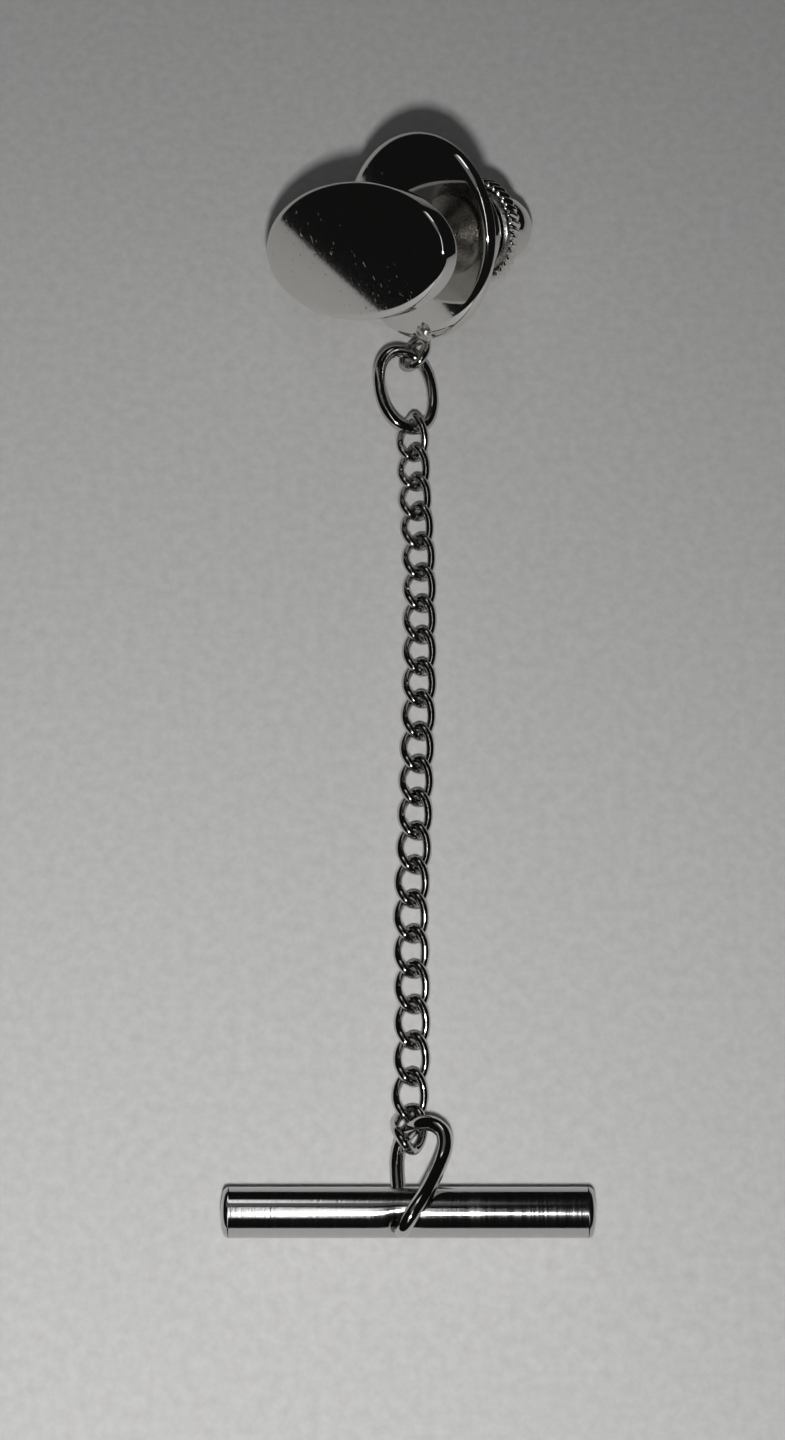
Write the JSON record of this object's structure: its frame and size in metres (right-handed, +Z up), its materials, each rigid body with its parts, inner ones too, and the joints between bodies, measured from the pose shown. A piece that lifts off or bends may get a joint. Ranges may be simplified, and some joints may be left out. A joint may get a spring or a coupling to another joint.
{
  "type": "tie tack",
  "caption": "Tie tack with an oval head on a post, a round-plate ball-lock clutch with a pull knob, a curb chain and a toggle bar for the buttonhole.",
  "frame": {"origin": "on the table under the middle of the set as it lies", "axes": "+Z up from the table, +Y along the chain from the toggle bar to the clutch, +X along the toggle bar"},
  "size_m": [0.02, 0.067, 0.0137],
  "materials": {
    "polished_plating": "polished rhodium-like plating",
    "brushed_bar": "bright plating over fine lines round the bar",
    "dish_plating": "bright plating with fine lines round a slightly domed face",
    "lock_steel": "plain bright steel",
    "cage_brass": "turned brass",
    "solder": "uneven plated solder"
  },
  "bodies": {
    "clutch_shell": {"clutch_dish": "dish_plating", "clutch_case": "polished_plating", "clutch_eyelet": "polished_plating", "eyelet_solder": "solder"},
    "lock_works": {"lock_cup": "lock_steel", "cup_washer": "lock_steel", "clutch_spring": "lock_steel"},
    "knob": {"pull_knob": "polished_plating", "knurled_ring": "polished_plating", "ball_cage": "cage_brass", "lock_balls": "lock_steel"},
    "tack": {"head_plate": "polished_plating", "post_pad": "polished_plating", "post": "lock_steel"},
    "jump_ring": {"jump_ring": "polished_plating"},
    "link_01": {"chain_link_01": "polished_plating"},
    "link_02": {"chain_link_02": "polished_plating"},
    "link_03": {"chain_link_03": "polished_plating"},
    "link_04": {"chain_link_04": "polished_plating"},
    "link_05": {"chain_link_05": "polished_plating"},
    "link_06": {"chain_link_06": "polished_plating"},
    "link_07": {"chain_link_07": "polished_plating"},
    "link_08": {"chain_link_08": "polished_plating"},
    "link_09": {"chain_link_09": "polished_plating"},
    "link_10": {"chain_link_10": "polished_plating"},
    "link_11": {"chain_link_11": "polished_plating"},
    "link_12": {"chain_link_12": "polished_plating"},
    "link_13": {"chain_link_13": "polished_plating"},
    "link_14": {"chain_link_14": "polished_plating"},
    "link_15": {"chain_link_15": "polished_plating"},
    "link_16": {"chain_link_16": "polished_plating"},
    "link_17": {"chain_link_17": "polished_plating"},
    "link_18": {"chain_link_18": "polished_plating"},
    "link_19": {"chain_link_19": "polished_plating"},
    "link_20": {"chain_link_20": "polished_plating"},
    "link_21": {"chain_link_21": "polished_plating"},
    "link_22": {"chain_link_22": "polished_plating"},
    "bar_ring": {"bar_ring": "polished_plating"},
    "toggle_bar": {"toggle_tube": "brushed_bar", "toggle_plug_left": "brushed_bar", "toggle_plug_right": "brushed_bar"}
  },
  "joints": [
    {"name": "clutch_turn", "type": "hinge", "parent": "clutch_shell", "child": "lock_works", "pos_m": [0.00296, 0.02937, 0.00426], "axis": [-0.706, -0.4631, 0.5358], "continuous": true},
    {"name": "knob_pull", "type": "slide", "parent": "lock_works", "child": "knob", "axis": [0.706, 0.4631, -0.5358], "range_m": [0, 0.0005], "stiffness_N_per_m": 600, "springref_m": -0.0004, "deforming": ["clutch_spring"]},
    {"name": "post_pull", "type": "slide", "parent": "lock_works", "child": "tack", "axis": [-0.706, -0.4631, 0.5358], "range_m": [-0.0022, 0.012]},
    {"name": "jump_ring_swing", "type": "hinge", "parent": "clutch_shell", "child": "jump_ring", "pos_m": [0.00042, 0.02251, 0.00101], "axis": [-0.827, 0.4042, 0.3909], "range_deg": [-6, 9]},
    {"name": "chain_01_swing", "type": "hinge", "parent": "jump_ring", "child": "link_01", "pos_m": [-0.00003, 0.01724, 0.00112], "axis": [0.9056, -0.0538, -0.4208], "range_deg": [-10, 10]},
    {"name": "chain_02_swing", "type": "hinge", "parent": "link_01", "child": "link_02", "pos_m": [0.00026, 0.01537, 0.00067], "axis": [0.8984, -0.0551, -0.4357], "range_deg": [-15, 15]},
    {"name": "chain_03_swing", "type": "hinge", "parent": "link_02", "child": "link_03", "pos_m": [0.00056, 0.01393, 0.00073], "axis": [-0.6232, 0.1268, -0.7717], "range_deg": [-15, 15]},
    {"name": "chain_04_swing", "type": "hinge", "parent": "link_03", "child": "link_04", "pos_m": [0.0004, 0.01124, 0.00071], "axis": [-0.8017, 0.1268, 0.5841], "range_deg": [-15, 15]},
    {"name": "chain_05_swing", "type": "hinge", "parent": "link_04", "child": "link_05", "pos_m": [0.00078, 0.00981, 0.00067], "axis": [0.6943, -0.1269, 0.7084], "range_deg": [-15, 15]},
    {"name": "chain_06_swing", "type": "hinge", "parent": "link_05", "child": "link_06", "pos_m": [0.00062, 0.00713, 0.00067], "axis": [0.742, -0.1269, -0.6583], "range_deg": [-15, 15]},
    {"name": "chain_07_swing", "type": "hinge", "parent": "link_06", "child": "link_07", "pos_m": [0.00081, 0.00561, 0.00065], "axis": [-0.7186, 0.1269, -0.6837], "range_deg": [-15, 15]},
    {"name": "chain_08_swing", "type": "hinge", "parent": "link_07", "child": "link_08", "pos_m": [0.00065, 0.00293, 0.00065], "axis": [-0.7186, 0.1269, 0.6837], "range_deg": [-15, 15]},
    {"name": "chain_09_swing", "type": "hinge", "parent": "link_08", "child": "link_09", "pos_m": [0.00078, 0.00141, 0.00065], "axis": [0.7186, -0.1269, 0.6837], "range_deg": [-15, 15]},
    {"name": "chain_10_swing", "type": "hinge", "parent": "link_09", "child": "link_10", "pos_m": [0.00062, -0.00127, 0.00065], "axis": [0.7186, -0.1269, -0.6837], "range_deg": [-15, 15]},
    {"name": "chain_11_swing", "type": "hinge", "parent": "link_10", "child": "link_11", "pos_m": [0.00064, -0.00279, 0.00065], "axis": [-0.7186, 0.1269, -0.6837], "range_deg": [-15, 15]},
    {"name": "chain_12_swing", "type": "hinge", "parent": "link_11", "child": "link_12", "pos_m": [0.00048, -0.00547, 0.00065], "axis": [-0.7186, 0.1269, 0.6837], "range_deg": [-15, 15]},
    {"name": "chain_13_swing", "type": "hinge", "parent": "link_12", "child": "link_13", "pos_m": [0.00051, -0.00699, 0.00065], "axis": [0.7186, -0.1269, 0.6837], "range_deg": [-15, 15]},
    {"name": "chain_14_swing", "type": "hinge", "parent": "link_13", "child": "link_14", "pos_m": [0.00035, -0.00967, 0.00065], "axis": [0.7186, -0.1269, -0.6837], "range_deg": [-15, 15]},
    {"name": "chain_15_swing", "type": "hinge", "parent": "link_14", "child": "link_15", "pos_m": [0.00032, -0.01119, 0.00065], "axis": [-0.7186, 0.1268, -0.6838], "range_deg": [-15, 15]},
    {"name": "chain_16_swing", "type": "hinge", "parent": "link_15", "child": "link_16", "pos_m": [0.00016, -0.01387, 0.00065], "axis": [-0.7186, 0.1268, 0.6838], "range_deg": [-15, 15]},
    {"name": "chain_17_swing", "type": "hinge", "parent": "link_16", "child": "link_17", "pos_m": [0.00028, -0.01539, 0.00065], "axis": [0.7186, -0.1268, 0.6838], "range_deg": [-15, 15]},
    {"name": "chain_18_swing", "type": "hinge", "parent": "link_17", "child": "link_18", "pos_m": [0.00012, -0.01807, 0.00065], "axis": [0.7186, -0.1268, -0.6838], "range_deg": [-15, 15]},
    {"name": "chain_19_swing", "type": "hinge", "parent": "link_18", "child": "link_19", "pos_m": [0.00031, -0.01959, 0.00065], "axis": [-0.7186, 0.1268, -0.6838], "range_deg": [-15, 15]},
    {"name": "chain_20_swing", "type": "hinge", "parent": "link_19", "child": "link_20", "pos_m": [0.00015, -0.02227, 0.00065], "axis": [-0.7186, 0.1268, 0.6838], "range_deg": [-15, 15]},
    {"name": "chain_21_swing", "type": "hinge", "parent": "link_20", "child": "link_21", "pos_m": [0.00018, -0.02379, 0.00065], "axis": [0.7186, -0.1268, 0.6838], "range_deg": [-15, 15]},
    {"name": "chain_22_swing", "type": "hinge", "parent": "link_21", "child": "link_22", "pos_m": [0.00002, -0.02647, 0.00065], "axis": [0.7186, -0.1268, -0.6838], "range_deg": [-15, 15]},
    {"name": "bar_ring_swing", "type": "hinge", "parent": "link_22", "child": "bar_ring", "pos_m": [0.0006, -0.02714, 0.00176], "axis": [0.6692, 0.0228, 0.7428], "range_deg": [-10, 10]},
    {"name": "toggle_swing", "type": "hinge", "parent": "bar_ring", "child": "toggle_bar", "pos_m": [-0.0004, -0.03189, 0.00135], "axis": [0, -0.7772, 0.6292], "range_deg": [-5, 2]}
  ]
}
